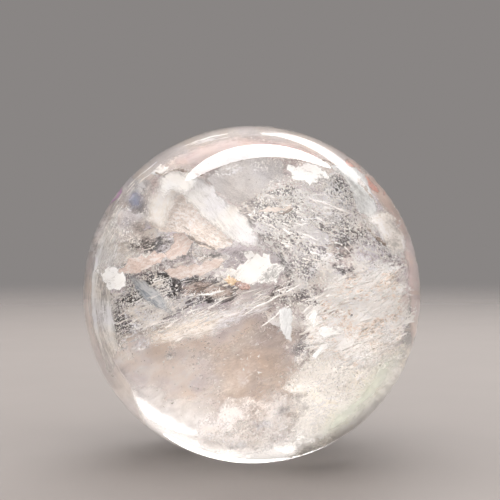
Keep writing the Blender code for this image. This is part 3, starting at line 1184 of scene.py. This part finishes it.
SCATTER_NUMBERS = (
    "Density", "Depth", "Width", "Length", "Thinness", "Turn", "Sway", "Cover", "Cloud Scale", "Fade",
)
SCATTER_INPUTS = {
    "Sheet": "NodeSocketGeometry",
    **dict.fromkeys(SCATTER_NUMBERS, "NodeSocketFloat"),
    "Seed": "NodeSocketInt",
    "Finish": "NodeSocketMaterial",
}
# How far the seed shifts the cloud noise, and how softly the cloud ends
SEED_SHIFT, CLOUD_SOFT = 0.37, 0.07
# The smallest shard's share of the full size, how rare the large ones are, and the shortest share
SMALLEST, RARITY, SHORTEST = 0.35, 1.6, 0.5


# The random node's numbered sockets for plain numbers: the least, the most and the outcome
RANDOM_LEAST, RANDOM_MOST, RANDOM_OUTCOME = 2, 3, 1


def chance(tree, seed, shift, least, most):
    """A random number for each point, from a seed of its own."""
    sockets = {"Seed": maths(tree, "ADD", seed, shift), RANDOM_LEAST: least, RANDOM_MOST: most}
    node = new_node(tree, "FunctionNodeRandomValue", sockets, data_type="FLOAT")
    return node.outputs[RANDOM_OUTCOME]


def scatter_tree():
    """Strews small closed shards over a sheet, thick where a noise is high, thin at its edge."""
    found = bpy.data.node_groups.get("quartz_scatter")
    if found:
        return found
    tree = bpy.data.node_groups.new("quartz_scatter", "GeometryNodeTree")
    for title, kind in SCATTER_INPUTS.items():
        tree.interface.new_socket(title, in_out="INPUT", socket_type=kind)
    tree.interface.new_socket("Shards", in_out="OUTPUT", socket_type="NodeSocketGeometry")
    given = tree.nodes.new("NodeGroupInput").outputs
    seed = given["Seed"]
    place = tree.nodes.new("GeometryNodeInputPosition").outputs[0]
    shifted = vectors(tree, "ADD", place, maths(tree, "MULTIPLY", seed, SEED_SHIFT))
    cloud = fractal(tree, shifted, given["Cloud Scale"], detail=6.0, roughness=0.62, distortion=0.7)
    low = maths(tree, "SUBTRACT", given["Cover"], CLOUD_SOFT)
    high = maths(tree, "ADD", given["Cover"], CLOUD_SOFT)
    edge = new_node(tree, "GeometryNodeInputNamedAttribute", {"Name": "edge"}, data_type="FLOAT").outputs[0]
    density = product(
        tree, between(tree, cloud, low, high), between(tree, edge, 0.0, given["Fade"]), given["Density"]
    )
    strewn = new_node(tree, "GeometryNodeDistributePointsOnFaces", {
        "Mesh": given["Sheet"], "Density": density, "Seed": seed,
    })
    drift = product(tree, chance(tree, seed, 1, -1.0, 1.0), chance(tree, seed, 2, 0.0, 1.0), given["Depth"])
    moved = new_node(tree, "GeometryNodeSetPosition", {
        "Geometry": strewn.outputs["Points"], "Offset": scaled(tree, strewn.outputs["Normal"], drift),
    })
    outside = maths(tree, "GREATER_THAN", vectors(tree, "DISTANCE", place, tuple(MIDDLE)), RADIUS * SKIN)
    height = new_node(tree, "ShaderNodeSeparateXYZ", {"Vector": place}).outputs["Z"]
    under = maths(tree, "LESS_THAN", height, LOWEST)
    kept = new_node(tree, "GeometryNodeDeleteGeometry", {
        "Geometry": moved.outputs[0], "Selection": maths(tree, "MAXIMUM", outside, under),
    })
    shard = new_node(tree, "GeometryNodeMeshCone", {
        "Vertices": 3, "Radius Top": 0.0, "Radius Bottom": 1.0, "Depth": given["Thinness"],
    })
    spread = maths(tree, "POWER", chance(tree, seed, 3, SMALLEST, 1.0), RARITY)
    width = maths(tree, "MULTIPLY", spread, given["Width"])
    length = product(tree, spread, chance(tree, seed, 4, SHORTEST, 1.0), given["Length"])
    size = new_node(tree, "ShaderNodeCombineXYZ", {"X": length, "Y": width, "Z": width})
    sway = given["Sway"]
    back = maths(tree, "MULTIPLY", sway, -1.0)
    rotation = new_node(tree, "ShaderNodeCombineXYZ", {
        "X": chance(tree, seed, 5, -math.pi, math.pi),
        "Y": maths(tree, "SUBTRACT", chance(tree, seed, 6, back, sway), given["Turn"]),
        "Z": chance(tree, seed, 7, back, sway),
    })
    shards = new_node(tree, "GeometryNodeInstanceOnPoints", {
        "Points": kept.outputs[0], "Instance": shard.outputs["Mesh"], "Rotation": rotation.outputs[0],
        "Scale": size.outputs[0],
    })
    shaded = new_node(tree, "GeometryNodeStoreNamedAttribute", {
        "Geometry": shards.outputs[0], "Name": "shade", "Value": chance(tree, seed, 8, 0.0, 1.0),
    }, data_type="FLOAT", domain="INSTANCE")
    real = new_node(tree, "GeometryNodeRealizeInstances", {"Geometry": shaded.outputs[0]})
    finish = new_node(tree, "GeometryNodeSetMaterial", {
        "Geometry": real.outputs[0], "Material": given["Finish"],
    })
    feed(tree, tree.nodes.new("NodeGroupOutput"), {"Shards": finish.outputs[0]})
    return tree


def glint_piece(flaw, scatter, thinness, material):
    """One zone's glints as a plain mesh, made by the shared tree on the zone's sheet."""
    sheet = bpy.data.objects.new(flaw.name + "_sheet", flaw_mesh(flaw))
    bpy.context.scene.collection.objects.link(sheet)
    tree = scatter_tree()
    strewing = sheet.modifiers.new("glints", "NODES")
    strewing.node_group = tree
    values = {
        "Density": scatter.per_square_mm / MM**2,
        "Depth": scatter.depth * MM,
        "Width": scatter.width * MM,
        "Length": scatter.length * scatter.width * MM,
        "Thinness": thinness,
        "Turn": math.radians(scatter.turn),
        "Sway": math.radians(scatter.sway),
        "Cover": scatter.cover,
        "Cloud Scale": scatter.scale,
        "Fade": scatter.fade,
        "Seed": flaw.seed,
        "Finish": material,
    }
    for socket in tree.interface.items_tree:
        if socket.item_type == "SOCKET" and socket.name in values:
            strewing[socket.identifier] = values[socket.name]
    settled = sheet.evaluated_get(bpy.context.evaluated_depsgraph_get())
    mesh = bpy.data.meshes.new_from_object(settled)
    mesh.name = flaw.name
    bpy.data.objects.remove(sheet)
    placed(flaw.name, mesh)


# The shades at which a shard is all low and all high in tone, and how far its drifts dull it
SHARD_STOPS = (0.1, 0.6)
SHARD_DULLING = 0.15


def glint_material(name, low, high):
    """Shards between two tones, each with its own shade, slightly dulled in drifts."""
    material, tree, surface = new_material(name)
    shade = new_node(tree, "ShaderNodeAttribute", attribute_name="shade").outputs["Fac"]
    drift = grouped(tree, clouding_group(), solid_place(tree), Scale=45.0, Low=0.45, High=0.6, Detail=3.0)
    base = shades(tree, shade, *zip(SHARD_STOPS, (low, high)))
    dulled = mixed(tree, product(tree, drift.outputs["Mask"], SHARD_DULLING), base, low)
    rough = between(tree, shade, 0.0, 1.0, first=0.5, last=0.25)
    feed(tree, surface, {"Base Color": dulled, "Roughness": rough})
    return material


# Where the sparkles are strewn, on the disc in millimetres
LEFT_ZONE = (
    (-46, 6), (-42, 24), (-32, 34), (-24, 20), (-6, 14), (0, 8), (-2, -4), (-20, -10), (-38, -20),
    (-46, -10),
)
RIGHT_ZONE = (
    (-2, 24), (4, 34), (20, 38), (36, 30), (46, 12), (46, -8), (40, -22), (24, -22), (12, -12), (4, 0),
    (12, 8),
)
LOW_ZONE = (
    (14, -10), (20, -14), (40, -12), (44, -22), (30, -38), (8, -46), (-8, -46), (-14, -38), (4, -34),
)
TOP_ZONE = ((-34, 32), (-24, 41), (0, 47), (24, 41), (33, 33), (16, 34), (0, 40), (-18, 36))
REAR_ZONE = (
    (-46, -10), (-42, 14), (-24, 36), (4, 44), (28, 34), (46, 8), (40, -22), (24, -40), (8, -44), (22, -26),
    (28, -4), (22, 14), (2, 26), (-20, 20), (-28, 0), (-26, -24), (-38, -24),
)
SIDE_ZONE = ((24, -24), (27, 0), (23, 28), (32, 28), (41, 14), (43, -8), (32, -30))

GLINTS = (
    (Flaw("left_sparkle", -16, -8, 0, LEFT_ZONE, seed=21, ruffle=3),
     Scatter(per_square_mm=10, cover=0.545, scale=40)),
    (Flaw("right_sparkle", -12, 10, 0, RIGHT_ZONE, seed=22, ruffle=3),
     Scatter(per_square_mm=11, cover=0.49, scale=45)),
    (Flaw("low_sparkle", -12, 4, 0, LOW_ZONE, seed=23, ruffle=3), Scatter(per_square_mm=5, cover=0.52)),
    (Flaw("top_sparkle", -18, 4, 0, TOP_ZONE, seed=24, ruffle=2), Scatter(per_square_mm=7)),
    (Flaw("smooth_sparkle", -12, 0, 0, (
        (-38, -14), (-14, -10), (4, -6), (10, -16), (4, -34), (-12, -42), (-28, -34), (-38, -24),
    ), seed=76, ruffle=3),
     Scatter(per_square_mm=0.45, width=0.3, cover=0.49, length=2.2, turn=45, sway=70)),
    (Flaw("left_strokes", -20, -8, 0, (
        (-44, -2), (-30, 6), (-14, 6), (2, 2), (-8, -6), (-24, -10), (-42, -14),
    ), seed=25, ruffle=2),
     Scatter(per_square_mm=1.3, width=0.28, length=13, turn=22, sway=14, cover=0.51, scale=45)),
    (Flaw("ridge_strokes", -20, 0, 0, (
        (-32, -8), (-10, 0), (13, 5), (13, 0), (2, -4.5), (-10, -9), (-22, -13), (-34, -14),
    ), seed=26, ruffle=2),
     Scatter(per_square_mm=1.5, width=0.3, length=14, turn=24, sway=10, cover=0.51, scale=45)),
    (Flaw("warm_strokes", -20, 10, 0, (
        (14, -2), (30, 8), (46, 8), (47, -8), (42, -22), (26, -24), (14, -16),
    ), seed=27, ruffle=3), Scatter(per_square_mm=1.8, width=0.34, length=9, turn=22, sway=18, cover=0.47)),
    (Flaw("low_strokes", -8, 4, 0, (
        (-14, -34), (4, -28), (20, -24), (40, -20), (38, -30), (26, -40), (6, -46), (-12, -44),
    ), seed=28, ruffle=3), Scatter(per_square_mm=2, width=0.22, length=12, turn=30, sway=22)),
    (Flaw("upper_strokes", -20, 8, 0, (
        (2, 22), (16, 32), (32, 30), (44, 18), (44, 6), (24, 6), (8, 12),
    ), seed=29, ruffle=3), Scatter(per_square_mm=1, width=0.3, length=9, turn=-22, sway=24, cover=0.48)),
    (Flaw("rear_sparkle", -28, 6, 0, REAR_ZONE, side=180, seed=132, ruffle=3), Scatter(cover=0.48)),
    (Flaw("rear_strokes", -28, -6, 0, REAR_ZONE, side=180, seed=133, ruffle=3),
     Scatter(per_square_mm=0.8, width=0.32, length=10, turn=-24, sway=30, cover=0.48)),
    (Flaw("side_sparkle", -28, 10, 0, SIDE_ZONE, side=90, seed=135, ruffle=3),
     Scatter(per_square_mm=6, cover=0.48)),
    (Flaw("dark_specks", -13, 4, 0, oval(0, 0, 88, 88, steps=24), seed=30, ruffle=4),
     Scatter(per_square_mm=0.25, width=0.2, cover=0.45, finish="dark")),
)


class QUARTZ_OT_glints(bpy.types.Operator):
    """Builds the sparkles, the strokes and the specks"""

    bl_idname = "quartz.glints"
    bl_label = "Glints"

    def execute(self, context):
        glints = context.scene.quartz_glints
        finishes = {
            "bright": glint_material("bright_shards", glints.soft, glints.bright),
            "dark": glint_material("dark_shards", glints.dark, glints.dark),
        }
        for flaw, scatter in GLINTS:
            glint_piece(flaw, scatter, glints.thinness, finishes[scatter.finish])
        return {"FINISHED"}


# The broad soft light comes from before and above the stone, and the window from behind and right
FRONT_LIGHT = (0.0, -0.77, 0.64)
# How high, as the sine of its angle, the broad light fades in
FRONT_FOOT = (0.06, 0.34)
WINDOW_WAY = Vector((0.35, 0.72, 0.60)).normalized()
WINDOW_SIDE = Vector((0, 0, 1)).cross(WINDOW_WAY).normalized()
WINDOW_UP = WINDOW_WAY.cross(WINDOW_SIDE)
# Half the window's width and how soft its sides are, then where it fades in and out going up
WINDOW_HALF, WINDOW_SOFT = 0.24, 0.10
WINDOW_FOOT, WINDOW_HEAD = (-0.18, -0.02), (0.05, 0.12)
# Between which heights the backdrop turns to sky, and how near its own way the broad light starts
SKY_RISE, FRONT_START = (0.22, 0.85), 0.25

# The floor's radius, the corners of its edge, and where it fades out from its middle
FLOOR_RADIUS, FLOOR_CORNERS, FLOOR_FADE = 1.4, 64, (0.35, 1.3)
FLOOR_ROUGHNESS = 0.7
# The floor's darker specks, as a share of its colour
FLOOR_SPECK = 0.97

# The oval lamp overhead: its place, its long and short sizes, its radiance and its turn
LAMP_PLACE = Vector((0.02, 0.24, 0.70))
LAMP_SIZE = (0.86, 0.2)
LAMP_RADIANCE = 8.0
LAMP_TURN = math.radians(22)

# How many see-through sheets a ray may cross, and how near the camera starts to see
CLEAR_BOUNCES = 32
CLIP_START = 0.01


def backdrop_world(stage):
    """A dim backdrop that brightens overhead, a broad light before the stone and a window behind."""
    world = bpy.data.worlds.new("studio")
    world.use_nodes = True
    tree = world.node_tree
    way = new_node(tree, "ShaderNodeTexCoord").outputs["Generated"]
    height = new_node(tree, "ShaderNodeSeparateXYZ", {"Vector": way}).outputs["Z"]
    overhead = [channel * stage.sky_strength for channel in stage.sky]
    base = mixed(tree, between(tree, height, *SKY_RISE), stage.backdrop, overhead)
    ahead = vectors(tree, "DOT_PRODUCT", way, FRONT_LIGHT)
    broad = between(tree, ahead, FRONT_START, 1.0, last=stage.front_strength)
    front = product(tree, broad, between(tree, height, *FRONT_FOOT))
    glow = scaled(tree, tuple(stage.sky), front)
    aside = maths(tree, "ABSOLUTE", vectors(tree, "DOT_PRODUCT", way, tuple(WINDOW_SIDE)))
    above = vectors(tree, "DOT_PRODUCT", way, tuple(WINDOW_UP))
    masks = (
        between(tree, aside, WINDOW_HALF + WINDOW_SOFT, WINDOW_HALF - WINDOW_SOFT),
        between(tree, above, *WINDOW_FOOT),
        between(tree, above, *WINDOW_HEAD, first=1.0, last=0.0),
    )
    behind = maths(tree, "GREATER_THAN", vectors(tree, "DOT_PRODUCT", way, tuple(WINDOW_WAY)), 0.0)
    shown = product(tree, *masks, behind)
    pane = scaled(tree, (stage.window_strength,) * 3, shown)
    whole = vectors(tree, "ADD", vectors(tree, "ADD", base, glow), pane)
    feed(tree, tree.nodes["Background"], {"Color": whole})
    bpy.context.scene.world = world


def floor_material(stage):
    """A plain floor with faint specks, which grows clear towards its edge."""
    material, tree, surface = new_material("floor")
    place = solid_place(tree)
    speck = grouped(tree, clouding_group(), place, Scale=18.0, Low=0.3, High=0.7, Detail=2.0)
    darker = [channel * FLOOR_SPECK for channel in stage.floor]
    base = mixed(tree, speck.outputs["Mask"], stage.floor, darker)
    shown = between(tree, vectors(tree, "LENGTH", place), *FLOOR_FADE, first=1.0, last=0.0)
    feed(tree, surface, {"Base Color": base, "Roughness": FLOOR_ROUGHNESS, "Alpha": shown})
    return material


def floor_piece(stage):
    """A wide floor whose far edge fades into the backdrop."""
    mesh = bpy.data.meshes.new("floor")
    disc = bmesh.new()
    bmesh.ops.create_circle(disc, cap_ends=True, segments=FLOOR_CORNERS, radius=FLOOR_RADIUS)
    disc.to_mesh(mesh)
    disc.free()
    mesh.materials.append(floor_material(stage))
    floor = bpy.data.objects.new("floor", mesh)
    bpy.context.scene.collection.objects.link(floor)


def overhead_lamp():
    """An oval lamp that shines straight down: its power is its area times pi times its radiance."""
    lamp = bpy.data.lights.new("crescent_window", "AREA")
    lamp.shape = "ELLIPSE"
    lamp.size, lamp.size_y = LAMP_SIZE
    lamp.energy = LAMP_RADIANCE * math.pi / 4 * LAMP_SIZE[0] * LAMP_SIZE[1] * math.pi
    seat = bpy.data.objects.new("crescent_window", lamp)
    bpy.context.scene.collection.objects.link(seat)
    seat.location = LAMP_PLACE
    aim = Vector((0, 0, -1)).to_track_quat("-Z", "Y")
    seat.rotation_mode = "QUATERNION"
    seat.rotation_quaternion = aim @ Quaternion((0, 0, 1), LAMP_TURN)


def camera_piece(stage):
    """A camera that frames the stone as the photograph does."""
    camera = bpy.data.cameras.new("camera")
    camera.lens = stage.lens
    camera.sensor_width = SENSOR_MM
    camera.clip_start = CLIP_START
    seat = bpy.data.objects.new("camera", camera)
    bpy.context.scene.collection.objects.link(seat)
    seat.location = eye_place(stage.elevation, stage.lens)
    focal = focal_pixels(stage.lens)
    right, down = (pixel - FRAME_PIXELS / 2 for pixel in DISC_MIDDLE_PIXELS)
    level = (seat.location - MIDDLE).to_track_quat("Z", "Y")
    pitch = Quaternion((1, 0, 0), math.atan(down / focal))
    yaw = Quaternion((0, 1, 0), math.atan(right / focal))
    seat.rotation_mode = "QUATERNION"
    seat.rotation_quaternion = level @ pitch @ yaw
    bpy.context.scene.camera = seat


class QUARTZ_OT_stage(bpy.types.Operator):
    """Builds the floor, the backdrop, the lights and the camera"""

    bl_idname = "quartz.stage"
    bl_label = "Stage"

    def execute(self, context):
        stage = context.scene.quartz_stage
        context.scene.view_settings.view_transform = "Standard"
        context.scene.cycles.transparent_max_bounces = CLEAR_BOUNCES
        backdrop_world(stage)
        floor_piece(stage)
        camera_piece(stage)
        overhead_lamp()
        return {"FINISHED"}


class QUARTZ_PT_panel(bpy.types.Panel):
    """Lists the settings and the steps in order"""

    bl_idname = "QUARTZ_PT_panel"
    bl_label = "Quartz sphere"
    bl_space_type = "VIEW_3D"
    bl_region_type = "UI"
    bl_category = "Quartz"

    def draw(self, context):
        for operator, settings in STEPS:
            box = self.layout.box()
            if settings:
                group = getattr(context.scene, settings)
                for name in group.__annotations__:
                    box.prop(group, name)
            box.operator(operator.bl_idname)


# The steps of the making in order, each with the settings that the panel lists above it
STEPS = (
    (QUARTZ_OT_stage, "quartz_stage"),
    (QUARTZ_OT_clear_stone, "quartz_stone"),
    (QUARTZ_OT_feathers, "quartz_flaws"),
    (QUARTZ_OT_hazes, None),
    (QUARTZ_OT_glints, "quartz_glints"),
)
SETTINGS = {
    "quartz_stone": StoneSettings,
    "quartz_flaws": FlawSettings,
    "quartz_glints": GlintSettings,
    "quartz_stage": StageSettings,
}
CLASSES = (*SETTINGS.values(), *(operator for operator, _ in STEPS), QUARTZ_PT_panel)


def register():
    for each in CLASSES:
        bpy.utils.register_class(each)
    for name, group in SETTINGS.items():
        setattr(bpy.types.Scene, name, PointerProperty(type=group))


def unregister():
    for name in SETTINGS:
        delattr(bpy.types.Scene, name)
    for each in reversed(CLASSES):
        bpy.utils.unregister_class(each)


def main():
    register()
    bpy.ops.quartz.stage()
    bpy.ops.quartz.clear_stone()
    bpy.ops.quartz.feathers()
    bpy.ops.quartz.hazes()
    bpy.ops.quartz.glints()


if __name__ == "__main__":
    main()
